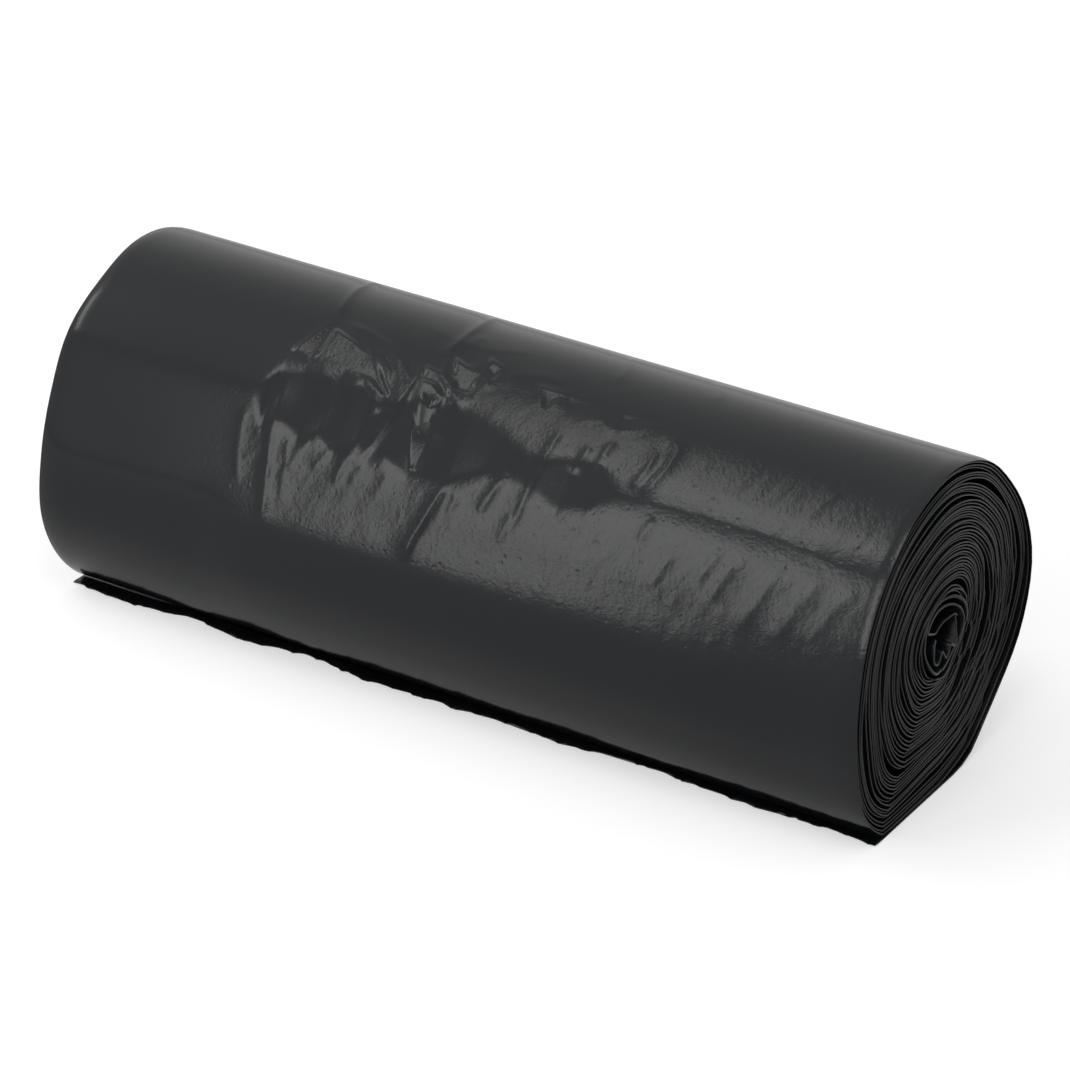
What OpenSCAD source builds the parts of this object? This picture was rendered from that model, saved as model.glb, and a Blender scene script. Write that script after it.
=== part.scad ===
// Roll of heavy-duty rubble sacks, lying on its side.
// The sacks are one long flat tube of film, folded once lengthwise into a web of four
// layers and wound up with no tube in the middle. Each sack joins the next at a line of
// perforation, so the whole roll is one piece. The outer end is torn off at such a line
// and lies on the floor in front, and the inner end is crumpled up in the middle.
// Axes: X along the roll, Y from front to back, Z up from the surface it lies on.

/* [Sacks] */
// Width of one sack laid flat
sack_w = 520; // [400:10:640]
// Thickness of the film
film_t = 0.125; // [0.05:0.005:0.13]

/* [Roll] */
// Mean diameter of the roll
roll_d = 96; // [92:1:120]
// Turns of web from the skin to the middle
turns = 42; // [24:1:42]
// Diameter of the crumpled middle
core_d = 24; // [20:1:25]
// How far the weight presses the flat spot in
sag = 2; // [1:0.5:3]
// Widest of the dark crescents between two turns
crescent = 3.4; // [1:0.2:3.6]
// How far the turns step back from each end
wander = 1.6; // [0.4:0.2:4]
// Extra depth of the crushed edges at the back of the near end
crush = 2.6; // [0.4:0.2:5]

/* [Tail] */
// Web that shows in front of the flat spot
tail_out = 4; // [3:0.2:12]
// Distance between two cuts of the perforation
perf_pitch = 10; // [8:1:20]
// Length of the film stretched out between two cuts
tuft = 0.6; // [0.2:0.1:2]

/* [Hidden] */

film_colour = "#323335";
layers = 4;
web_t = film_t * layers;
web_w = sack_w / 2;
mean_r = roll_d / 2;
core_r = core_d / 2;
axis_z = mean_r - sag;

// Steps of the section in one turn
steps = 32;
// Direction from the middle to the line where the tail leaves the flat spot
leave_deg = 236;
// Angle over which the first turn is pressed flat on the floor
flat_deg = 45;
// Torn edge of the tail every 20 mm from the far end, as shares of its mean width
torn = [1.3, 1.55, 0.8, 1.48, 0.58, 1.3, 1.15, 0.9, 0.98, 0.7, 0.58, 0.92, 0.58, 0.85];

// Outline of the slumped roll at each end, as shares of the mean radius, every 22.5
// degrees from the back at mid height. It leans towards the front and is fullest there.
near_outline = [
    1.00, 0.965, 0.95, 0.995, 1.035, 1.02, 1.01, 1.00,
    1.00, 1.06, 1.15, 1.12, 0.965, 0.95, 0.93, 0.98
];
far_outline = [
    0.99, 0.965, 0.97, 1.015, 1.01, 0.97, 0.98, 0.96,
    1.01, 1.12, 1.175, 1.15, 0.965, 0.95, 0.94, 0.97
];

// Slack between turns, where the ends show dark crescents. Each has its place on the way
// in as a share of the turns, its direction, half its angle and a share of the widest.
slack = [
    [0.10, 95, 42, 0.30],
    [0.10, 268, 44, 0.55],
    [0.12, 0, 50, 0.90],
    [0.17, 58, 34, 0.40],
    [0.19, 200, 32, 0.45],
    [0.29, 105, 50, 0.50],
    [0.36, 305, 40, 0.40],
    [0.40, 228, 36, 0.50],
    [0.57, 345, 64, 1.00],
    [0.71, 200, 30, 0.35],
    [0.90, 52, 40, 0.40],
    [0.95, 172, 54, 0.65]
];

// Route of the crumpled inner end, in shares of the middle's radius, back and up from
// its centre: two loose turns, a strip over the top, then folds that close the hollow.
crumple = [
    [-0.13, -0.91], [0.30, -0.83], [0.64, -0.58], [0.83, -0.21], [0.84, 0.21], [0.65, 0.59],
    [0.31, 0.84], [-0.13, 0.89], [-0.53, 0.72], [-0.79, 0.42], [-0.90, 0.03], [-0.81, -0.36],
    [-0.55, -0.66], [-0.19, -0.77], [0.20, -0.71], [0.50, -0.49], [0.66, -0.18], [0.68, 0.17],
    [0.54, 0.46], [0.23, 0.68], [-0.16, 0.73], [-0.50, 0.59], [-0.70, 0.38], [-0.52, 0.26],
    [-0.28, 0.19], [0.02, 0.38], [0.34, 0.40], [0.50, 0.18], [0.46, -0.14], [0.34, -0.38],
    [0.14, -0.26], [-0.04, -0.50], [-0.24, -0.26], [-0.42, -0.48], [-0.60, -0.36],
    [-0.54, -0.08], [-0.36, 0.04]
];

function wrap(a, n) = (a % n + n) % n;
function turn_apart(a, b) = wrap(a - b + 180, 360) - 180;
function polar(a, r) = [r * cos(a), r * sin(a)];
function sum(list, i = 0) = i < len(list) ? list[i] + sum(list, i + 1) : 0;
function lobe(a, half) = abs(a) < half ? pow(cos(90 * a / half), 2) : 0;

// Smooth closed curve through values spaced evenly round a circle
function ring(list, a) =
    let (n = len(list), p = wrap(a, 360) / 360 * n, i = floor(p), f = p - i)
    let (k = list[wrap(i - 1, n)], l = list[wrap(i, n)])
    let (m = list[wrap(i + 1, n)], o = list[wrap(i + 2, n)])
    l + f / 2 * (m - k + f * (2 * k - 5 * l + 4 * m - o + f * (3 * (l - m) + o - k)));

// Straight line between values at whole numbers
function between(list, p) =
    let (k = floor(p), f = p - k)
    list[k] * (1 - f) + list[k + 1] * f;

// Outer radius of the skin, which is cut off by the floor
function floor_r(a) = sin(a) < 0 ? -axis_z / sin(a) : 2 * roll_d;
function skin_r(shape, a, t) =
    t * 360 <= flat_deg ? floor_r(a) : min(mean_r * ring(shape, a), floor_r(a));

// Slack that lies outside the web, t turns in
function slack_out(a, t) = crescent * sum([
    for (s = slack)
        let (from = floor(s[0] * turns) + wrap(s[1] + 180 - leave_deg, 360) / 360)
        t > from ? s[3] * lobe(turn_apart(a, s[1]), s[2]) : 0
]);

// Turns bunch up in some places and lie loose in others, another way on each side.
// Each list holds the looseness of every turn, added up from the skin.
function added(list) = [for (i = 0, s = 0; i < len(list); s = s + list[i], i = i + 1) s];
front_loose = added(rands(0.3, 1.7, turns + 2, 31));
back_loose = added(rands(0.3, 1.7, turns + 2, 57));
function loose_out(a, t) =
    let (front = pow(sin((a - 20) / 2), 2))
    front * between(front_loose, t) / front_loose[turns]
    + (1 - front) * between(back_loose, t) / back_loose[turns];

// Outer radius of the web, t turns in from the tail. The pressed stretch lies on the floor.
function web_r(shape, t) =
    let (a = leave_deg + 360 * t, skin = skin_r(shape, a, t))
    let (room = skin - core_r - web_t * turns - slack_out(a, turns + 1))
    t * 360 <= flat_deg ? skin
    : skin - web_t * t - room * loose_out(a, t) - slack_out(a, t);

turn_at = [for (k = [0:turns * steps]) k / steps];
function spiral(shape, in) =
    [for (t = turn_at) polar(leave_deg + 360 * t, web_r(shape, t) - in)];

// The crumpled end has the web's thickness on both sides of its route
route = concat([polar(leave_deg, core_r - web_t / 2)], core_r * crumple);
function unit(v) = v / norm(v);
function left_of(v) = [-v[1], v[0]];
function thick(i) =
    let (a = route[i - 1], b = route[i], c = route[min(i + 1, len(route) - 1)])
    let (u = unit(b - a), v = i == len(route) - 1 ? u : unit(c - b), n = unit(left_of(u + v)))
    n / max(n * left_of(u), 0.6) * web_t / 2;
middle_out = [for (i = [1:len(route) - 1]) route[i] - thick(i)];
middle_in = [for (i = [1:len(route) - 1]) route[i] + thick(i)];

near_out = concat(spiral(near_outline, 0), middle_out);
near_in = concat(spiral(near_outline, web_t), middle_in);
far_out = concat(spiral(far_outline, 0), middle_out);
far_in = concat(spiral(far_outline, web_t), middle_in);
stations = len(near_out);
all_y = [for (p = concat(near_out, far_out)) p[0]];
y_mid = (max(all_y) + min(all_y)) / 2;
function place(x, p) = [x, p[0] - y_mid, p[1] + axis_z];

// The ends of the turns step back unevenly, and further where the edge is crushed
near_noise = rands(0, 1, 3 * turns + 9, 4);
far_noise = rands(0, 1, 3 * turns + 9, 9);
notch = rands(0, 1, stations, 21);
function set_in(i) = min(max(i / steps - 0.9, 0), 1);
function crushed(i) = crush * notch[i] * lobe(turn_apart(leave_deg + 360 * i / steps, 325), 75);
function near_x(i) =
    web_w / 2 - set_in(i) * (wander * between(near_noise, 3 * i / steps) + crushed(i));
function far_x(i) =
    -web_w / 2 + set_in(i) * wander * between(far_noise, 3 * i / steps);

// Torn edge of the tail: a slow wave, and a tuft between each two cuts
tear_n = 2 * round(web_w / perf_pitch);
tear_noise = rands(-0.4, 0.4, tear_n + 1, 12);
leave_y = floor_r(leave_deg) * cos(leave_deg);
function tear_x(j) = web_w * (j / tear_n - 0.5);
function tear_wave(j) = between(concat(torn, [0]), j / tear_n * (len(torn) - 1));
function tear_y(j) = leave_y - tail_out * tear_wave(j) - (j % 2) * tuft - tear_noise[j];

// Four corners of the web at each station: near outer, near inner, far inner, far outer.
// The line where the tail leaves is station 0, and its points come with the tail's.
web_points = [
    for (i = [1:stations - 1])
        each [
            place(near_x(i), near_out[i]),
            place(near_x(i), near_in[i]),
            place(far_x(i), far_in[i]),
            place(far_x(i), far_out[i])
        ]
];
tail_points = [
    for (j = [0:tear_n])
        let (x = tear_x(j), root = leave_y - y_mid, edge = tear_y(j) - y_mid)
        each [[x, root, 0], [x, root, web_t], [x, edge, web_t], [x, edge, 0]]
];

// Faces of one step of the web: near end, far end, outer wall and inner wall. The walls
// twist a little from end to end, so both are split along the same diagonal.
function step_faces(a, b) = [
    [a, a + 1, b + 1, b],
    [a + 3, b + 3, b + 2, a + 2],
    [a, b, b + 3],
    [a, b + 3, a + 3],
    [a + 1, b + 2, b + 1],
    [a + 1, a + 2, b + 2]
];
web_faces = [for (i = [0:stations - 3]) each step_faces(4 * i, 4 * i + 4)];
inner_end = 4 * (stations - 2);
inner_cap = [inner_end, inner_end + 1, inner_end + 2, inner_end + 3];

// The first step of the web starts on the tail's root line and shares its points
tail_0 = 4 * (stations - 1);
tail_j = tail_0 + 4 * tear_n;
first_faces = [
    [tail_j, tail_j + 1, 1, 0],
    [0, 3, each [for (j = [0:tear_n]) tail_0 + 4 * j]],
    [1, each [for (j = [tear_n:-1:0]) tail_0 + 4 * j + 1], 2],
    [tail_0, 3, 2, tail_0 + 1]
];
// Faces of the tail: floor side, top and torn edge for each step along it, then its ends
tail_faces = [
    for (j = [0:tear_n - 1])
        let (a = tail_0 + 4 * j, b = a + 4)
        each [
            [b + 3, b, a, a + 3],
            [b + 1, b + 2, a + 2, a + 1],
            [b + 2, b + 3, a + 3, a + 2]
        ]
];
tail_ends = [
    [tail_j + 3, tail_j + 2, tail_j + 1, tail_j],
    [tail_0 + 3, tail_0, tail_0 + 1, tail_0 + 2]
];

module sack_roll() {
    color(film_colour)
        polyhedron(
            points = concat(web_points, tail_points),
            faces = concat(web_faces, [inner_cap], first_faces, tail_faces, tail_ends),
            convexity = 20
        );
}

sack_roll();
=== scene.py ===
"""Roll of heavy-duty rubble sacks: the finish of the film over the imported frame."""

import math

import bmesh
import bpy
import numpy as np
from mathutils import Matrix, Vector


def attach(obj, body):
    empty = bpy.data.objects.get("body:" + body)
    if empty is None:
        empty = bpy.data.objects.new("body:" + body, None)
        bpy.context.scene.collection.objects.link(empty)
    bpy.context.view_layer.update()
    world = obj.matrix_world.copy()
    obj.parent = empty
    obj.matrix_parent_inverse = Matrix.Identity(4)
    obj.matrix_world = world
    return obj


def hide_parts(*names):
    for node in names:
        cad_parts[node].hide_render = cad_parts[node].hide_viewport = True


bl_info = {
    "name": "Rubble Sack Roll",
    "version": (1, 0, 0),
    "blender": (4, 5, 0),
    "location": "View3D > Sidebar > Sack Roll",
    "description": "Dresses a roll of rubble sacks in wrinkled black film",
    "category": "Add Mesh",
}

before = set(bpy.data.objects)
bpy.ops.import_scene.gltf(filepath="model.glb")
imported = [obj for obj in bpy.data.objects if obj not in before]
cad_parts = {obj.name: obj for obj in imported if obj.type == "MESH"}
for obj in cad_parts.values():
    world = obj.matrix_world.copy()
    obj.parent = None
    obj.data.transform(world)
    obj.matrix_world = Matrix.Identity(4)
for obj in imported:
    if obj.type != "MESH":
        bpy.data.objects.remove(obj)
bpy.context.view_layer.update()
NODE = "sack_roll"
BODY = "root"
MM = 0.001

# The wound section, in millimetres and degrees. Directions are seen from the near end,
# from the back at mid height over the top, and turns count inward from the tail.
WEB_W = 260.0
WEB_T = 0.5
ROLL_D = 96.0
MEAN_R = ROLL_D / 2
TURNS = 42
CORE_R = 12.0
AXIS_Y = 0.909
AXIS_Z = 46.0
LEAVE = 236.0
FLAT = 45.0
TAIL_OUT = 4.0

# Stage, in metres: how far off the softboxes stand and the height that they face, then
# what the camera looks at and its tilt about its own axis
LAMP_AWAY = 1.2
LAMP_AIM = 0.046
CAMERA_TARGET = (-0.00304, 0.01029, 0.03233)
CAMERA_ROLL = math.radians(0.15)
FLOOR_LIFT = 0.46

# Outline at each end as shares of the mean radius, one every 22.5 degrees
NEAR_OUTLINE = (
    1.00, 0.965, 0.95, 0.995, 1.035, 1.02, 1.01, 1.00,
    1.00, 1.06, 1.15, 1.12, 0.965, 0.95, 0.93, 0.98,
)
FAR_OUTLINE = (
    0.99, 0.965, 0.97, 1.015, 1.01, 0.97, 0.98, 0.96,
    1.01, 1.12, 1.175, 1.15, 0.965, 0.95, 0.94, 0.97,
)

# Slack between turns: turn, direction, half angle, gap
SLACK = (
    (4, 95, 42, 1.0),
    (4, 268, 44, 1.9),
    (5, 0, 50, 3.1),
    (7, 58, 34, 1.4),
    (8, 200, 32, 1.5),
    (12, 105, 50, 1.7),
    (15, 305, 40, 1.4),
    (17, 228, 36, 1.7),
    (24, 345, 64, 3.4),
    (30, 200, 30, 1.2),
    (38, 52, 40, 1.4),
    (40, 172, 54, 2.2),
)

# Torn edge of the tail every 20 mm from the far end, as shares of its mean width
TORN = (1.3, 1.55, 0.8, 1.48, 0.58, 1.3, 1.15, 0.9, 0.98, 0.7, 0.58, 0.92, 0.58, 0.85)

# Creases in the skin: height, reach on the far or lower side and on the near or upper side,
# then their points along the roll and round it, in millimetres and degrees.
CREASES = (
    (0.40, 1.6, 1.4, ((-60, 66), (-58, 85), (-56, 96), (-54, 103))),
    (0.20, 0.8, 2.6, ((-54, 103), (-57, 109), (-60, 120))),
    (0.16, 1.0, 2.2, ((-58, 117), (-54, 121), (-45, 120), (-36, 119), (-30, 123), (-26, 126))),
    (0.34, 1.6, 0.8, ((-53, 102), (-43, 104), (-35, 107), (-28, 112), (-24, 117), (-23, 123))),
    (0.30, 1.5, 0.8, ((-52, 104), (-44, 108), (-36, 112), (-30, 117), (-27, 124))),
    (0.24, 1.0, 2.0, ((-37, 122), (-34, 125), (-29, 129), (-27, 133))),
    (0.45, 1.7, 1.5, ((-19, 68), (-17, 88), (-17, 98), (-20, 107))),
    (0.34, 1.6, 0.8, ((-20, 106), (-21, 114), (-22, 124), (-23, 134), (-25, 143), (-28, 152))),
    (0.30, 1.1, 1.1, (
        (-16, 104), (-16, 109), (-13, 114), (-9, 118), (-6, 121), (-4, 118), (-4, 112),
    )),
    (0.24, 1.0, 1.6, ((-10, 104), (-6, 107), (-2, 110), (0, 114))),
    (0.26, 0.8, 2.4, ((-17, 119), (-16, 126), (-14, 134), (-11, 148))),
    (0.24, 2.0, 0.8, ((-13, 118), (-11, 126), (-11, 136), (-11, 148))),
    (0.34, 1.8, 2.2, ((-57, 128), (-57, 140), (-56, 150), (-55, 158), (-54, 171), (-53, 184))),
    (0.14, 1.6, 2.0, ((-66, 140), (-66, 150), (-65, 160), (-63, 170))),
    (0.14, 1.5, 1.5, ((-51, 147), (-49, 158), (-49, 172))),
    (0.16, 1.3, 1.0, ((-43, 146), (-46, 152), (-48, 160))),
    (0.14, 1.3, 1.0, ((-36, 147), (-41, 157))),
    (0.20, 1.3, 1.0, ((-29, 146), (-32, 152), (-33, 160))),
    (0.14, 1.2, 0.9, ((-25, 148), (-28, 158))),
    (0.12, 1.2, 0.9, ((-17, 150), (-20, 160))),
    (0.52, 2.6, 1.0, ((1, 147), (0, 151), (-3, 160), (-6, 169), (-8, 178))),
    (0.14, 1.0, 1.0, ((5, 150), (3, 158))),
    (0.24, 1.6, 0.9, ((18, 138), (15, 146), (12, 155))),
    (0.24, 1.3, 1.0, ((27, 116), (26, 128), (25, 140), (24, 150), (22, 160))),
    (0.16, 1.2, 0.9, ((22, 150), (20, 162))),
    (0.22, 1.2, 0.9, ((37, 122), (35, 133))),
    (0.20, 1.0, 0.9, ((42, 118), (41, 130))),
    (0.34, 0.9, 1.8, ((54, 115), (57, 112), (60, 115), (60, 122), (58, 130), (55, 135))),
    (0.24, 1.4, 0.9, ((55, 117), (55, 125), (53, 133))),
    (0.12, 2.6, 2.6, ((44, 137), (60, 135), (78, 134), (96, 134), (112, 136), (128, 139))),
    (0.20, 2.0, 1.6, ((89, 144), (87, 150), (84, 160))),
    (0.16, 1.8, 1.5, ((84, 143), (79, 156))),
    (0.14, 1.3, 1.0, ((63, 139), (60, 148))),
    (0.16, 1.5, 1.0, ((71, 148), (66, 162))),
    (0.18, 3.2, 2.2, ((102, 142), (98, 154), (92, 168))),
    (0.18, 3.0, 2.4, ((114, 140), (109, 152), (103, 168))),
    (0.14, 3.0, 2.0, ((124, 140), (119, 150), (113, 164))),
    (0.14, 1.2, 2.4, ((-32, 92), (-20, 97), (-8, 97), (6, 92))),
    (0.14, 1.4, 1.4, ((2, 110), (5, 104), (12, 101), (20, 103))),
    (0.22, 1.2, 2.0, ((14, 109), (18, 112), (22, 109))),
    (0.16, 1.4, 1.4, ((24, 72), (30, 86), (32, 97))),
    (0.20, 1.2, 1.8, ((32, 112), (40, 115), (47, 112), (52, 107))),
    (0.14, 1.4, 1.4, ((52, 74), (58, 84), (60, 92))),
    (0.16, 1.4, 2.0, ((-12, 90), (-14, 96), (-16, 102))),
)

# Small flat panels between the creases: slope along the roll, slope round it, then their
# corners along the roll and round it. The slopes turn a panel to or from the softboxes.
PANELS = (
    (-0.06, 0.02, ((-60, 119), (-57, 108), (-54, 105), (-53, 121))),
    (-0.04, -0.10, (
        (-52, 107), (-44, 110), (-35, 115), (-27, 125), (-34, 121), (-44, 119), (-52, 119),
    )),
    (-0.05, -0.08, ((-20, 111), (-15, 112), (-10, 118), (-13, 124), (-18, 120))),
    (-0.04, -0.12, ((-14, 105), (-6, 108), (-4, 116), (-9, 116))),
    (-0.02, -0.18, ((-5, 101), (0, 103), (-1, 108), (-4, 105))),
    (-0.03, -0.14, ((13, 106), (22, 106), (18, 113))),
    (0.015, 0.015, ((23, 108), (33, 107), (36, 112), (30, 116), (25, 114))),
    (0.015, 0.015, ((40, 109), (52, 106), (55, 111), (50, 117), (43, 118))),
    (-0.05, -0.11, (
        (-19, 117), (-15, 117), (-11, 120), (-11, 132), (-11, 146), (-15, 134), (-18, 124),
    )),
)

# Slack film that lies flat between two folds: place along the roll, upper and lower fold
SLACK_BAND = (
    (-66, 137, 137),
    (-60, 126, 147),
    (-54, 123, 145),
    (-48, 123, 149),
    (-42, 121, 146),
    (-36, 123, 150),
    (-30, 125, 146),
    (-25, 126, 149),
    (-20, 123, 147),
    (-12, 121, 151),
    (-6, 121, 150),
    (0, 122, 149),
    (10, 125, 142),
    (20, 130, 140),
    (27, 130, 144),
    (34, 127, 147),
    (42, 127, 144),
    (50, 134, 138),
    (60, 136, 136),
)

# Degrees over which each fold of the slack band is rounded, as a mean of drops side by side
FOLD_ROUND = (-2.8, -1.4, 0.0, 1.4, 2.8)

# Places across the web between which the turns under the slack band give way, how far
# they do there, round which direction, and how many turns in it is over
BAND_SHARES = (0.0, 0.1, 0.25, 0.7, 0.85, 1.0)
GIVE_SHARES = (0, 0, 1, 1, 0, 0)
BAND_GIVE = 1.2
BAND_MIDDLE = 136.0
BAND_HALF = 34.0
BAND_LAST = 17

# The crushed edges of the near end: their middle direction and half their angle
CRUSH_MIDDLE = 325.0
CRUSH_HALF = 75.0

# The deepest that a wrinkle may go before it meets the next turn, and how far the skin
# draws in at its two ends
DEEPEST = -0.45
END_DROP = 0.45

# Route of the crumpled end in shares of the middle's radius, back and up
CRUMPLE = (
    (-0.13, -0.91), (0.30, -0.83), (0.64, -0.58), (0.83, -0.21), (0.84, 0.21), (0.65, 0.59),
    (0.31, 0.84), (-0.13, 0.89), (-0.53, 0.72), (-0.79, 0.42), (-0.90, 0.03), (-0.81, -0.36),
    (-0.55, -0.66), (-0.19, -0.77), (0.20, -0.71), (0.50, -0.49), (0.66, -0.18), (0.68, 0.17),
    (0.54, 0.46), (0.23, 0.68), (-0.16, 0.73), (-0.50, 0.59), (-0.70, 0.38), (-0.52, 0.26),
    (-0.28, 0.19), (0.02, 0.38), (0.34, 0.40), (0.50, 0.18), (0.46, -0.14), (0.34, -0.38),
    (0.14, -0.26), (-0.04, -0.50), (-0.24, -0.26), (-0.42, -0.48), (-0.60, -0.36),
    (-0.54, -0.08), (-0.36, 0.04),
)


def through(k, m, n, o, f):
    """Point at share f of the way from m to n on a smooth curve through four points."""
    return m + f / 2 * (n - k + f * (2 * k - 5 * m + 4 * n - o + f * (3 * (m - n) + o - k)))


def ring(values, deg):
    """Smooth closed curve through values spaced evenly round a circle."""
    values = np.asarray(values)
    count = len(values)
    place = np.mod(deg, 360.0) / 360.0 * count
    i = np.floor(place).astype(int)
    f = place - i
    k, m, n, o = (values[(i + step) % count] for step in (-1, 0, 1, 2))
    return through(k, m, n, o, f)


def smooth(a, b, value):
    """Smooth step from 0 at a to 1 at b."""
    f = np.clip((value - a) / (b - a), 0.0, 1.0)
    return f * f * (3 - 2 * f)


def lobe(apart, half):
    """Rounded hump, 1 in the middle and 0 past half."""
    return np.where(np.abs(apart) < half, np.cos(np.pi / 2 * apart / half) ** 2, 0.0)


def apart(deg, other):
    """Signed angle between two directions."""
    return np.mod(deg - other + 180.0, 360.0) - 180.0


def soft_noise(u, v, seed):
    """Value noise from 0 to 1 on a lattice of unit cells, smooth between its points."""
    lattice = np.random.default_rng(seed).random((64, 64))
    iu = np.floor(u).astype(int)
    iv = np.floor(v).astype(int)
    fu = u - iu
    fv = v - iv
    fu = fu * fu * (3 - 2 * fu)
    fv = fv * fv * (3 - 2 * fv)
    a = lattice[iu % 64, iv % 64] * (1 - fu) + lattice[(iu + 1) % 64, iv % 64] * fu
    b = lattice[iu % 64, (iv + 1) % 64] * (1 - fu) + lattice[(iu + 1) % 64, (iv + 1) % 64] * fu
    return a * (1 - fv) + b * fv


def floor_radius(deg):
    """Distance from the middle to the floor in a downward direction."""
    down = np.sin(np.radians(deg))
    return np.where(down < -0.05, -AXIS_Z / np.minimum(down, -0.05), 2 * ROLL_D)


def skin_radius(deg, turn, x):
    """Outer radius of the slumped roll, whose first turn is pressed flat on the floor."""
    share = x / WEB_W + 0.5
    free = MEAN_R * (ring(FAR_OUTLINE, deg) * (1 - share) + ring(NEAR_OUTLINE, deg) * share)
    floor = floor_radius(deg)
    lift = smooth(FLAT - 4, FLAT + 22, turn * 360.0)
    pressed = floor * (1 - lift) + np.minimum(free, floor) * lift
    return np.where(turn * 360.0 < FLAT + 22, pressed, np.minimum(free, floor))


def slack_outside(deg, turn):
    """Slack gathered outside the web at a turn."""
    total = 0.0
    for first, middle, half, gap in SLACK:
        start = first + np.mod(middle + 180.0 - LEAVE, 360.0) / 360.0
        total = total + np.where(turn > start, gap * lobe(apart(deg, middle), half), 0.0)
    return total


def looseness(seed):
    """Looseness of every turn, added up from the skin, as shares of the whole."""
    turns = np.random.default_rng(seed).uniform(0.25, 1.75, TURNS + 2)
    total = np.concatenate(([0.0], np.cumsum(turns)))
    return total / total[TURNS]


FRONT_LOOSE = looseness(31)
BACK_LOOSE = looseness(57)


def web_radius(turn, x):
    """Outer radius of the web, some turns in from the tail, at a place along the roll."""
    deg = LEAVE + 360.0 * turn
    skin = skin_radius(deg, turn, x)
    front = np.sin(np.radians((deg - 20.0) / 2)) ** 2
    at = np.arange(len(FRONT_LOOSE))
    loose = front * np.interp(turn, at, FRONT_LOOSE) + (1 - front) * np.interp(turn, at, BACK_LOOSE)
    room = skin - CORE_R - WEB_T * TURNS - slack_outside(deg, np.full_like(turn, TURNS + 2.0))
    return skin - WEB_T * turn - room * loose - slack_outside(deg, turn)


def web_profile(outer_shares, inner_shares, nose=4):
    """Closed loop round the web's cross-section, from the shares of the width on each face.

    Each point has its share of the width, its reach past the wall's end in shares of half
    the thickness, and its depth in the thickness.
    """
    outer = [(f, 0.0, 0.0) for f in outer_shares]
    arc = [math.pi * i / (nose + 1) for i in range(1, nose + 1)]
    near = [(1.0, math.sin(a), (1 - math.cos(a)) / 2) for a in arc]
    under = [(f, 0.0, 1.0) for f in reversed(inner_shares)]
    far = [(0.0, -math.sin(a), (1 + math.cos(a)) / 2) for a in arc]
    return np.array(outer + near + under + far + outer[:1])


def strip_mesh(name, profile, stations, place):
    """Bend a grid into a closed strip of web: profile across, stations along."""
    bm = bmesh.new()
    across = len(profile) - 1
    along = len(stations) - 1
    bmesh.ops.create_grid(bm, x_segments=across, y_segments=along, size=0.5)
    bm.verts.ensure_lookup_table()
    grid = np.array([v.co[:2] for v in bm.verts])
    column = np.rint((grid[:, 0] + 0.5) * across).astype(int)
    row = np.rint((grid[:, 1] + 0.5) * along).astype(int)
    points = place(profile[column], stations[row], row) * MM
    for vert, point in zip(bm.verts, points):
        vert.co = point
    bmesh.ops.remove_doubles(bm, verts=bm.verts, dist=1e-7)
    rims = [e for e in bm.edges if e.is_boundary]
    bmesh.ops.holes_fill(bm, edges=rims, sides=0)
    bmesh.ops.recalc_face_normals(bm, faces=bm.faces)
    for face in bm.faces:
        face.smooth = True
    mesh = bpy.data.meshes.new(name)
    bm.to_mesh(mesh)
    bm.free()
    return mesh


def add_piece(name, mesh, material):
    """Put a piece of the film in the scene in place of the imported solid."""
    obj = bpy.data.objects.new(name, mesh)
    bpy.context.scene.collection.objects.link(obj)
    mesh.materials.append(material)
    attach(obj, BODY)
    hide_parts(NODE)
    return obj


def across_web(part, far, near):
    """Place along the roll of each point of the profile, between the web's two ends."""
    reach = WEB_T / 2
    return far + reach + part[:, 0] * (near - far - 2 * reach) + part[:, 1] * reach


def on_section(deg, radius, x):
    """Point of the roll from its direction and distance from the middle."""
    angle = np.radians(deg)
    return np.column_stack([x, AXIS_Y + radius * np.cos(angle), AXIS_Z + radius * np.sin(angle)])


def end_places(turn):
    """Where the web's two ends lie along the roll at each station."""
    deg = LEAVE + 360.0 * turn
    set_in = np.clip(turn - 0.92, 0.0, 1.0)
    near = 1.5 * soft_noise(turn * 3.1, turn * 0 + 0.5, 4) + 0.5 * soft_noise(turn * 11.0, turn, 5)
    far = 1.5 * soft_noise(turn * 3.1, turn * 0 + 0.5, 9) + 0.5 * soft_noise(turn * 11.0, turn, 8)
    crushed = lobe(apart(deg, CRUSH_MIDDLE), CRUSH_HALF)
    notch = np.floor(3 * soft_noise(turn * 15.0, turn * 1.7, 21)) / 2
    near = near + crushed * (0.8 + 1.3 * notch)
    return WEB_W / 2 - set_in * near, -WEB_W / 2 + set_in * far


def give_way(share, deg):
    """Drop of the film below the skin's slack band, in millimetres."""
    inside = np.interp(share, BAND_SHARES, GIVE_SHARES)
    return BAND_GIVE * inside * lobe(apart(deg, BAND_MIDDLE), BAND_HALF)


def build_turns():
    """The wound web inside the skin, with a rounded fold nose on each edge of each turn."""
    per_turn = 96
    stations = np.arange(per_turn, TURNS * per_turn + 1) / per_turn
    profile = web_profile(BAND_SHARES, BAND_SHARES)

    def place(part, turn, row):
        near, far = end_places(turn)
        x = across_web(part, far, near)
        deg = LEAVE + 360.0 * turn
        give = give_way(part[:, 0], deg) * np.clip((BAND_LAST - turn) / (BAND_LAST - 1), 0, 1)
        return on_section(deg, web_radius(turn, x) - WEB_T * part[:, 2] - give, x)

    return strip_mesh("wound_turns", profile, stations, place)


def ease(values, place):
    """Straight line through values at whole numbers."""
    return np.interp(place, np.arange(len(values)), values)


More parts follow.
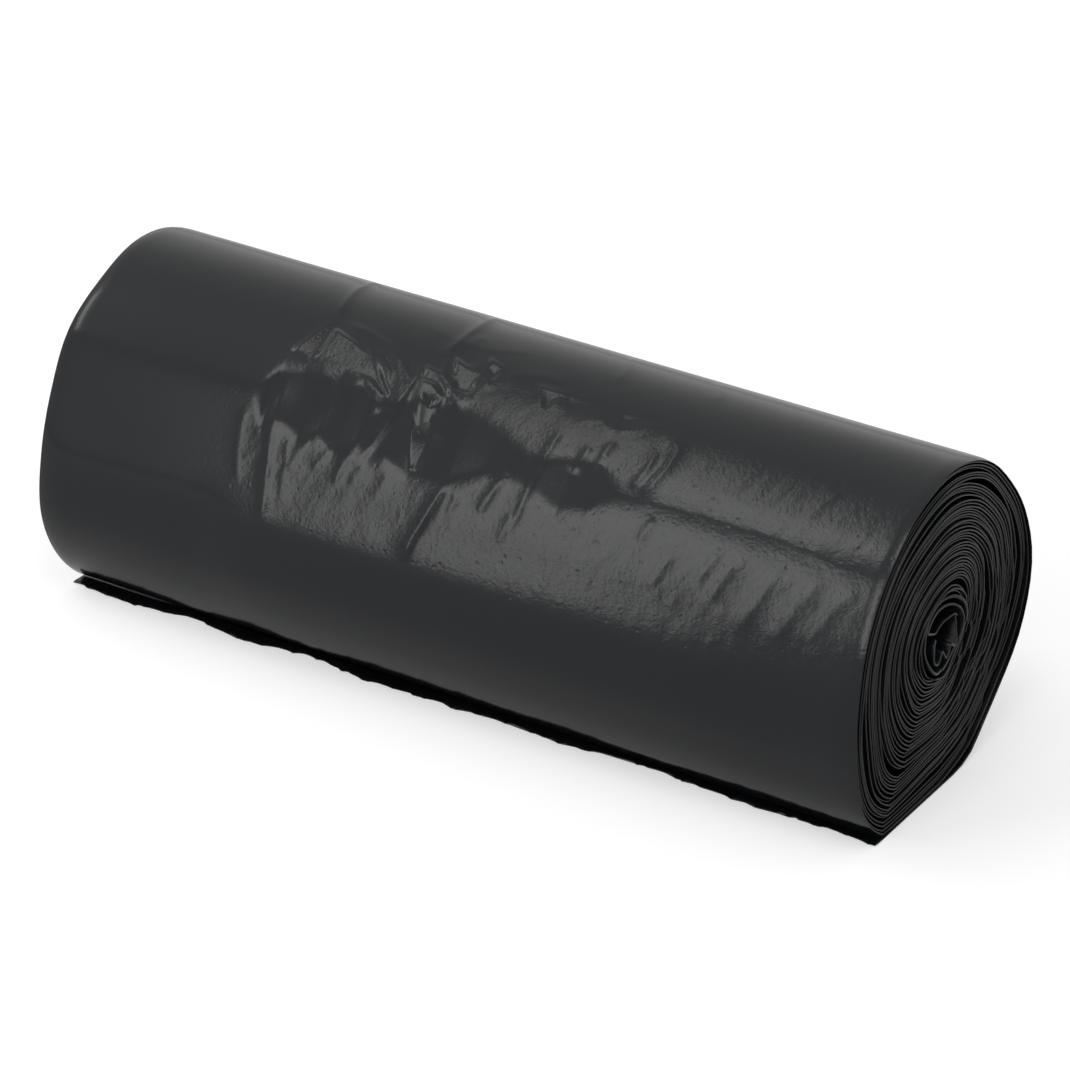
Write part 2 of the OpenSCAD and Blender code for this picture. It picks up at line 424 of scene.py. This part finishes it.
def near_span(x, arc, a, b):
    """Share of a straight span passed at the point nearest to each place, and its distance."""
    (ax, ay), (bx, by) = a, b
    f = np.clip(((x - ax) * (bx - ax) + (arc - ay) * (by - ay)) / math.dist(a, b) ** 2, 0, 1)
    return f, np.hypot(x - ax - f * (bx - ax), arc - ay - f * (by - ay))


def near_line(x, arc, points):
    """Distance to a line on the skin, its side, and the share of the line passed there."""
    spot = [(px, math.radians(pd) * MEAN_R) for px, pd in points]
    spans = list(zip(spot[:-1], spot[1:]))
    total = sum(math.dist(a, b) for a, b in spans)
    best = np.full_like(x, 1e9)
    along = np.zeros_like(x)
    side = np.ones_like(x)
    gone = 0.0
    for (ax, ay), (bx, by) in spans:
        length = math.dist((ax, ay), (bx, by))
        f, d = near_span(x, arc, (ax, ay), (bx, by))
        nearer = d < best
        along = np.where(nearer, (gone + f * length) / total, along)
        turned = (bx - ax) * (arc - ay) - (by - ay) * (x - ax)
        side = np.where(nearer, np.sign(turned), side)
        best = np.minimum(best, d)
        gone += length
    return best, side, along


def crease(x, arc, rise, far, near, points):
    """Sharp fold in the film, whose two sides fall off at their own rates."""
    distance, side, along = near_line(x, arc, points)
    reach = np.where(side > 0, far, near)
    taper = smooth(0, 0.22, along) * smooth(1, 0.78, along)
    return rise * taper * np.exp(-(np.hypot(distance, 0.3) - 0.3) / reach)


def fine_creases(x, arc):
    """Short slanting creases over the front, as many as the film has, from a fixed seed."""
    rng = np.random.default_rng(11)
    height = np.zeros_like(x)
    for _ in range(110):
        px = rng.uniform(-64, 124)
        pd = rng.choice((rng.uniform(140, 174), rng.uniform(112, 132)), p=(0.75, 0.25))
        tall = rng.uniform(2.0, 8.0)
        lean = rng.uniform(0.1, 0.7)
        rise = rng.uniform(0.01, 0.05)
        points = ((px, pd), (px - lean * tall, pd + tall))
        height += crease(x, arc, rise, rng.uniform(0.5, 1.4), rng.uniform(0.5, 1.0), points)
    return height


def panel(x, arc, slopes, corners):
    """Flat panel with a tilt, which drops back to the skin at its edges."""
    spot = [(px, math.radians(pd) * MEAN_R) for px, pd in corners]
    inside = np.zeros(x.shape, bool)
    edge = np.full_like(x, 1e9)
    for (ax, ay), (bx, by) in zip(spot, spot[1:] + spot[:1]):
        edge = np.minimum(edge, near_span(x, arc, (ax, ay), (bx, by))[1])
        crosses = (ay > arc) != (by > arc)
        inside ^= crosses & (x < (bx - ax) * (arc - ay) / (by - ay + 1e-9) + ax)
    depth = np.where(inside, edge, -edge)
    middle = np.mean(spot, axis=0)
    return (slopes[0] * (x - middle[0]) + slopes[1] * (arc - middle[1])) * smooth(-0.9, 0.5, depth)


def band_folds(x):
    """Directions of the slack band's upper and lower fold, along the roll."""
    places, upper, lower = (np.array(column, float) for column in zip(*SLACK_BAND))
    return np.interp(x, places, upper), np.interp(x, places, lower)


def calm(x, deg):
    """How far a place lies within the slack band, where the film is drawn smooth, 0 to 1."""
    top, bottom = band_folds(x)
    return smooth(top - 1, top + 3, deg) * smooth(bottom + 1, bottom - 3, deg)


def slack_band(x, deg):
    """Drop of the skin to the flat span between the two folds of the slack band."""
    top, bottom = band_folds(x)
    span = np.radians(np.maximum(bottom - top, 0.01))
    high, low = (web_radius((d + 360.0 - LEAVE) / 360.0, x) for d in (top, bottom))
    to_low, to_high = np.radians(bottom - deg), np.radians(deg - top)
    within = (deg > top) & (deg < bottom)
    flat = np.sin(span) / np.where(within, np.sin(to_low) / high + np.sin(to_high) / low, 1.0)
    return np.where(within, flat - web_radius((deg + 360.0 - LEAVE) / 360.0, x), 0.0)


def skin_relief(x, deg):
    """Height of the skin's wrinkles, in millimetres."""
    arc = np.radians(deg) * MEAN_R
    belly = smooth(162, 183, deg) * smooth(226, 190, deg)
    height = (0.5 + 0.8 * smooth(-80, -58, x) * smooth(112, 76, x)) * belly
    for rise, far, near, points in CREASES:
        height = height + crease(x, arc, rise, far, near, points)
    for slope_x, slope_round, corners in PANELS:
        height = height + panel(x, arc, (slope_x, slope_round), corners)
    streak = soft_noise((x + 0.35 * arc) / 2.6 + 9.1, arc / 9.0, 33) - 0.5
    grain = soft_noise(x / 1.7 + 3.7, arc / 2.1, 34) - 0.5
    still = 1 - 0.8 * calm(x, deg)
    busy = smooth(-75, -50, x) * smooth(102, 116, deg) * smooth(184, 170, deg) * still
    swell = soft_noise(x / 26.0 + 3.3, arc / 24.0, 77) - 0.5
    height = height + busy * (0.05 * streak + 0.02 * grain) + 0.12 * swell
    height = height + still * fine_creases(x, arc)
    drawn_in = END_DROP * np.clip((np.abs(x) - 126.5) / 3.5, 0, 1) ** 2
    return height * smooth(130, 122, np.abs(x)) - drawn_in


def build_skin(wrinkle):
    """The outermost turn, from the flat spot up the back and down the front."""
    columns = 330
    fine = 215
    stations = np.concatenate((np.linspace(0, 0.5, 30)[:-1], np.linspace(0.5, 1.0, fine)))
    # The far end of the skin is plain, so it has few columns
    plain, upto = columns // 8, 0.24
    shares = np.concatenate(
        (np.linspace(0, upto, plain)[:-1], np.linspace(upto, 1, columns - plain))
    )
    profile = web_profile(shares, BAND_SHARES)

    def place(part, turn, row):
        deg = LEAVE + 360.0 * turn
        near, far = end_places(turn)
        x = across_web(part, far, near)
        lifted = smooth(0.14, 0.3, turn) * smooth(1.0, 0.94, turn)
        relief = np.maximum(wrinkle * skin_relief(x, deg - 360.0), DEEPEST)
        drops = [slack_band(x, deg - 360.0 + turned) for turned in FOLD_ROUND]
        relief = relief + sum(drops) / len(drops)
        inner = -WEB_T - give_way(part[:, 0], deg)
        radius = web_radius(turn, x) + lifted * relief * (1 - part[:, 2]) + inner * part[:, 2]
        return on_section(deg, radius, x)

    mesh = strip_mesh("outer_wrap", profile, stations, place)
    spots = np.empty(3 * len(mesh.vertices))
    mesh.vertices.foreach_get("co", spots)
    x, y, z = spots.reshape(-1, 3).T / MM
    deg = np.mod(np.degrees(np.arctan2(z - AXIS_Z, y - AXIS_Y)), 360.0)
    worn = smooth(-85, -45, x) * smooth(96, 112, deg) * smooth(188, 172, deg)
    worn = worn * (1 - 0.85 * calm(x, deg))
    mesh.attributes.new("worn", "FLOAT", "POINT").data.foreach_set("value", 0.15 + 0.85 * worn)
    return mesh


def build_tail():
    """The torn end of the web on the floor, with film stretched out between the cuts."""
    columns = 420
    shares = np.linspace(0, 1, columns)
    profile = web_profile(shares, shares)
    stations = np.array([0.0, 0.04, 0.1, 0.2, 0.35, 0.55, 0.8, 1.0])
    root = AXIS_Y + floor_radius(LEAVE) * math.cos(math.radians(LEAVE))

    def place(part, share, row):
        x = across_web(part, -WEB_W / 2, WEB_W / 2)
        wave = 0.8 * (soft_noise(x / 6.0 + 40, x * 0, 12) - 0.5)
        tufts = 0.9 * soft_noise(x / 1.1 + 90, x * 0, 13) ** 3
        edge = TAIL_OUT * ease(TORN, (x / WEB_W + 0.5) * (len(TORN) - 1)) + wave + tufts
        y = root - edge * (1 - share)
        thin = 1 - 0.75 * smooth(0.25, 0.0, share)
        curl = 0.5 * smooth(0.5, 0.0, share) * soft_noise(x / 5.0 + 20, x * 0, 14)
        z = WEB_T * part[:, 2] * thin + curl
        return np.column_stack([x, y, z])

    return strip_mesh("torn_tail", profile, stations, place)


def smooth_route(points, count):
    """Catmull-Rom curve through points, at even steps of its parameter."""
    points = np.asarray(points)
    ends = np.vstack((2 * points[0] - points[1], points, 2 * points[-1] - points[-2]))
    place = np.linspace(0, len(points) - 1.0001, count)
    i = np.floor(place).astype(int)
    f = (place - i)[:, None]
    k, m, n, o = (ends[i + step] for step in (0, 1, 2, 3))
    return through(k, m, n, o, f)


def build_core():
    """The crumpled inner end, folded up where a tube would be."""
    start = (CORE_R - WEB_T / 2) / CORE_R
    leave = math.radians(LEAVE)
    points = [(start * math.cos(leave), start * math.sin(leave))] + list(CRUMPLE)
    count = 620
    route = smooth_route(points, count) * CORE_R
    along = np.gradient(route, axis=0)
    along /= np.linalg.norm(along, axis=1)[:, None]
    left = np.column_stack([-along[:, 1], along[:, 0]])
    shares = (0.0, 0.015, 0.03, 0.05, 0.08, 0.5, 0.92, 0.94, 0.955, 0.97, 0.985, 1.0)
    profile = web_profile(shares, shares)
    stations = np.linspace(0, 1, count)

    def place(part, share, row):
        near, far = end_places(TURNS + share * 3)
        facing = np.degrees(np.arctan2(route[row, 1], route[row, 0]))
        near = near + 1.5 - 2.0 * lobe(apart(facing, 130.0), 95.0) * smooth(0.03, 0.12, share)
        x = across_web(part, far, near)
        # The layers spread at the end, and the hollow closes up like a funnel behind it
        depth = WEB_W / 2 - np.abs(x)
        loose = smooth(0.03, 0.1, share)
        uneven = soft_noise(share * 17.0, share, 45)
        spread = WEB_T * (1 + 1.6 * loose * smooth(9, 2, depth) * uneven)
        middle = route[row] + left[row] * (spread * (part[:, 2] - 0.5))[:, None]
        closed = 0.3 + 0.5 * soft_noise(share * 22.0, depth / 5.0, 41)
        middle = middle * (1 - loose * closed * smooth(1, 13, depth))[:, None]
        return np.column_stack([x, AXIS_Y + middle[:, 0], AXIS_Z + middle[:, 1]])

    return strip_mesh("crumpled_end", profile, stations, place)


def linear(hex_colour):
    """Linear RGBA from an sRGB hex value."""
    parts = [int(hex_colour[i:i + 2], 16) / 255 for i in (1, 3, 5)]
    flat = [c / 12.92 if c <= 0.04045 else ((c + 0.055) / 1.055) ** 2.4 for c in parts]
    return (*flat, 1.0)


def add_node(tree, kind, settings=None, **links):
    """Add a node, set its properties and sockets, and link sockets by name."""
    node = tree.nodes.new(kind)
    for key, value in (settings or {}).items():
        if hasattr(node, key):
            setattr(node, key, value)
        else:
            node.inputs[key].default_value = value
    for key, source in links.items():
        tree.links.new(source, node.inputs[key.replace("_", " ")])
    return node


def add_math(tree, operation, first, second):
    """Add a Math node on two sources, each a socket or a number, and return its output."""
    node = add_node(tree, "ShaderNodeMath", {"operation": operation})
    for socket, source in zip(node.inputs, (first, second)):
        if isinstance(source, float):
            socket.default_value = source
        else:
            tree.links.new(source, socket)
    return node.outputs[0]


def new_material(name):
    """Empty node material with its output."""
    material = bpy.data.materials.new(name)
    material.use_nodes = True
    tree = material.node_tree
    tree.nodes.clear()
    return material, tree, tree.nodes.new("ShaderNodeOutputMaterial")


def black_film(finish):
    """Carbon-black blown low-density polyethylene film, with the soft gloss of its skin."""
    material, tree, out = new_material("black_polythene_film")
    place = add_node(tree, "ShaderNodeTexCoord").outputs["Object"]
    # Melt texture of blown film, stronger where the roll is rubbed. The real one is too
    # fine to show, so it is drawn coarser here, at about 1.3 mm.
    worn = add_node(tree, "ShaderNodeAttribute", {"attribute_name": "worn"})
    melt = add_node(
        tree, "ShaderNodeTexNoise",
        {"Scale": 1 / (1.3 * MM), "Detail": 4.0, "Roughness": 0.6},
        Vector=place,
    )
    # Small pits, one every few millimetres
    cells = add_node(tree, "ShaderNodeTexVoronoi", {"Scale": 1 / (3.4 * MM)}, Vector=place)
    pits = add_node(
        tree, "ShaderNodeMapRange",
        {"From Min": 0.04, "From Max": 0.2, "To Min": -0.5, "To Max": 0.0},
        Value=cells.outputs["Distance"],
    )
    both = add_math(tree, "ADD", melt.outputs["Fac"], pits.outputs[0])
    height = add_math(tree, "MULTIPLY", both, worn.outputs["Fac"])
    bump = add_node(tree, "ShaderNodeBump", {"Strength": 1.0, "Distance": 0.07 * MM}, Height=height)
    shader = add_node(
        tree,
        "ShaderNodeBsdfPrincipled",
        {"Base Color": (*finish.colour, 1.0), "Roughness": finish.roughness, "IOR": 1.42},
        Normal=bump.outputs["Normal"],
    )
    tree.links.new(shader.outputs[0], out.inputs["Surface"])
    return material


class SACKROLL_Finish(bpy.types.PropertyGroup):
    """Film of the sacks."""

    colour: bpy.props.FloatVectorProperty(
        name="Film colour", description="Colour of the sacks' film", default=linear("#101215")[:3],
        subtype="COLOR", min=0.0, max=1.0,
    )
    roughness: bpy.props.FloatProperty(
        name="Film roughness", description="Lower is glossier", default=0.16, min=0.0, max=1.0,
        subtype="FACTOR",
    )
    wrinkle: bpy.props.FloatProperty(
        name="Wrinkles", description="Height of the wrinkles against those of the model",
        default=1.0, min=0.0, max=1.5,
    )


class SACKROLL_Stage(bpy.types.PropertyGroup):
    """Camera and light."""

    azimuth: bpy.props.FloatProperty(
        name="Camera azimuth", description="Camera's turn from the front",
        default=math.radians(32.88), subtype="ANGLE",
    )
    elevation: bpy.props.FloatProperty(
        name="Camera elevation", description="Camera's height angle", default=math.radians(28.31),
        subtype="ANGLE",
    )
    distance: bpy.props.FloatProperty(
        name="Camera distance", description="From the camera to what it looks at", default=1.2632,
        unit="LENGTH",
    )
    lens: bpy.props.FloatProperty(
        name="Focal length", description="Camera's focal length in millimetres", default=154.44,
    )
    softbox: bpy.props.FloatProperty(
        name="Softbox", description="Brightness of the softboxes against white", default=3.3,
    )
    sky: bpy.props.FloatProperty(
        name="Sky", description="Strength of the even studio light", default=0.75,
    )


def look_at(place, target, roll=0.0):
    """Matrix of a camera or lamp at place that looks at target."""
    turn = (place - target).to_track_quat("Z", "Y").to_matrix().to_4x4()
    return Matrix.Translation(place) @ turn @ Matrix.Rotation(roll, 4, "Z")


def softbox(name, far, near, low, high, glow):
    """Rectangular lamp in front of the roll, as bright as glow times white.

    It reaches from far to near along the roll, and from low to high in degrees above the
    horizon as seen from the roll.
    """
    foot, head = (
        Vector((0, -LAMP_AWAY * math.cos(a), LAMP_AWAY * math.sin(a) + LAMP_AIM))
        for a in (math.radians(low), math.radians(high))
    )
    lamp = bpy.data.lights.new(name, "AREA")
    lamp.shape = "RECTANGLE"
    lamp.size = near - far
    lamp.size_y = (head - foot).length
    lamp.energy = glow * math.pi * lamp.size * lamp.size_y
    z = Vector((1, 0, 0)).cross(head - foot).normalized()
    if z.dot(foot) < 0:
        z = -z
    turn = Matrix((Vector((1, 0, 0)), z.cross(Vector((1, 0, 0))), z)).transposed().to_4x4()
    box = bpy.data.objects.new(name, lamp)
    middle = (foot + head) / 2 + Vector(((far + near) / 2, 0, 0))
    box.matrix_world = Matrix.Translation(middle) @ turn
    box.visible_camera = False
    bpy.context.scene.collection.objects.link(box)


def white_world(strength):
    """Even studio light, white where the camera, gloss or glass sees it."""
    world = bpy.data.worlds.new("studio")
    bpy.context.scene.world = world
    world.use_nodes = True
    tree = world.node_tree
    tree.nodes.clear()
    path = add_node(tree, "ShaderNodeLightPath")
    seen = add_math(tree, "MAXIMUM", path.outputs["Is Camera Ray"], path.outputs["Is Glossy Ray"])
    clear = add_math(tree, "MAXIMUM", seen, path.outputs["Is Transmission Ray"])
    level = add_node(tree, "ShaderNodeMapRange", {"To Min": strength, "To Max": 1.0}, Value=clear)
    sky = add_node(tree, "ShaderNodeBackground", Strength=level.outputs[0])
    out = tree.nodes.new("ShaderNodeOutputWorld")
    tree.links.new(sky.outputs[0], out.inputs["Surface"])


def pale_floor():
    """Matt white paper sweep under the object, lifted to white where the camera sees it."""
    material, tree, out = new_material("white_paper_floor")
    paper = add_node(tree, "ShaderNodeBsdfDiffuse", {"Color": linear("#dcdcdc")})
    path = add_node(tree, "ShaderNodeLightPath")
    lift = add_math(tree, "MULTIPLY", path.outputs["Is Camera Ray"], FLOOR_LIFT)
    glow = add_node(tree, "ShaderNodeEmission", Strength=lift)
    both = add_node(tree, "ShaderNodeAddShader")
    tree.links.new(paper.outputs[0], both.inputs[0])
    tree.links.new(glow.outputs[0], both.inputs[1])
    tree.links.new(both.outputs[0], out.inputs["Surface"])
    return material


FILM = {}


def film(context):
    """The film's one material, made on first use."""
    if "film" not in FILM:
        FILM["film"] = black_film(context.scene.sackroll_finish)
    return FILM["film"]


class SACKROLL_OT_skin(bpy.types.Operator):
    """Add the wrinkled outermost turn"""

    bl_idname = "sackroll.skin"
    bl_label = "Outer wrap"

    def execute(self, context):
        wrinkle = context.scene.sackroll_finish.wrinkle
        add_piece("outer_wrap", build_skin(wrinkle), film(context))
        return {"FINISHED"}


class SACKROLL_OT_turns(bpy.types.Operator):
    """Add the wound turns inside the skin"""

    bl_idname = "sackroll.turns"
    bl_label = "Wound turns"

    def execute(self, context):
        add_piece("wound_turns", build_turns(), film(context))
        return {"FINISHED"}


class SACKROLL_OT_core(bpy.types.Operator):
    """Add the crumpled inner end"""

    bl_idname = "sackroll.core"
    bl_label = "Crumpled end"

    def execute(self, context):
        add_piece("crumpled_end", build_core(), film(context))
        return {"FINISHED"}


class SACKROLL_OT_tail(bpy.types.Operator):
    """Add the torn tail on the floor"""

    bl_idname = "sackroll.tail"
    bl_label = "Torn tail"

    def execute(self, context):
        add_piece("torn_tail", build_tail(), film(context))
        return {"FINISHED"}


# Softboxes: name, far and near end along the roll in metres, lower and upper edge in degrees
SOFTBOXES = (
    ("front_softbox", -0.70, -0.50, -1.0, 46.0),
    ("front_softbox_middle", -0.50, -0.42, 12.0, 46.0),
    ("front_softbox_wing", -0.42, -0.34, 27.0, 46.0),
    ("top_softbox", -0.63, -0.53, 60.0, 96.0),
    ("top_softbox_middle", -0.53, -0.46, 60.0, 85.0),
    ("top_softbox_wing", -0.46, -0.34, 60.0, 74.0),
    ("left_softbox", -1.35, -1.06, 60.0, 98.0),
    ("side_softbox", -0.08, 0.12, 6.0, 48.0),
    ("over_softbox", 0.10, 0.45, 60.0, 80.0),
)


class SACKROLL_OT_stage(bpy.types.Operator):
    """Add the floor, the lamps and the camera"""

    bl_idname = "sackroll.stage"
    bl_label = "Stage"

    def execute(self, context):
        scene = context.scene
        stage = scene.sackroll_stage
        scene.view_settings.view_transform = "Standard"
        white_world(stage.sky)
        mesh = bpy.data.meshes.new("floor")
        bm = bmesh.new()
        bmesh.ops.create_grid(bm, x_segments=1, y_segments=1, size=12.0)
        bm.to_mesh(mesh)
        bm.free()
        floor = bpy.data.objects.new("floor", mesh)
        scene.collection.objects.link(floor)
        mesh.materials.append(pale_floor())
        for lamp in SOFTBOXES:
            softbox(*lamp, stage.softbox)
        camera = bpy.data.cameras.new("camera")
        camera.lens = stage.lens
        camera.sensor_width = 36.0
        camera.clip_end = 100.0
        view = bpy.data.objects.new("camera", camera)
        target = Vector(CAMERA_TARGET)
        away = Vector((
            math.sin(stage.azimuth) * math.cos(stage.elevation),
            -math.cos(stage.azimuth) * math.cos(stage.elevation),
            math.sin(stage.elevation),
        ))
        view.matrix_world = look_at(target + away * stage.distance, target, CAMERA_ROLL)
        scene.collection.objects.link(view)
        scene.camera = view
        return {"FINISHED"}


class SACKROLL_PT_panel(bpy.types.Panel):
    """Lists the pieces and the stage"""

    bl_idname = "SACKROLL_PT_panel"
    bl_label = "Sack roll"
    bl_space_type = "VIEW_3D"
    bl_region_type = "UI"
    bl_category = "Sack Roll"

    def draw(self, context):
        for group in (context.scene.sackroll_finish, context.scene.sackroll_stage):
            for name in group.__annotations__:
                self.layout.prop(group, name)
        for piece in PIECES:
            self.layout.operator(piece.bl_idname)


PIECES = (
    SACKROLL_OT_skin,
    SACKROLL_OT_turns,
    SACKROLL_OT_core,
    SACKROLL_OT_tail,
    SACKROLL_OT_stage,
)
CLASSES = (SACKROLL_Finish, SACKROLL_Stage) + PIECES + (SACKROLL_PT_panel,)


def register():
    """Register the classes and the two groups of settings."""
    for cls in CLASSES:
        bpy.utils.register_class(cls)
    bpy.types.Scene.sackroll_finish = bpy.props.PointerProperty(type=SACKROLL_Finish)
    bpy.types.Scene.sackroll_stage = bpy.props.PointerProperty(type=SACKROLL_Stage)


def unregister():
    """Take the settings and the classes out again."""
    del bpy.types.Scene.sackroll_stage
    del bpy.types.Scene.sackroll_finish
    for cls in reversed(CLASSES):
        bpy.utils.unregister_class(cls)


def main():
    """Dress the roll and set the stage."""
    register()
    bpy.ops.sackroll.skin()
    bpy.ops.sackroll.turns()
    bpy.ops.sackroll.core()
    bpy.ops.sackroll.tail()
    bpy.ops.sackroll.stage()


if __name__ == "__main__":
    main()
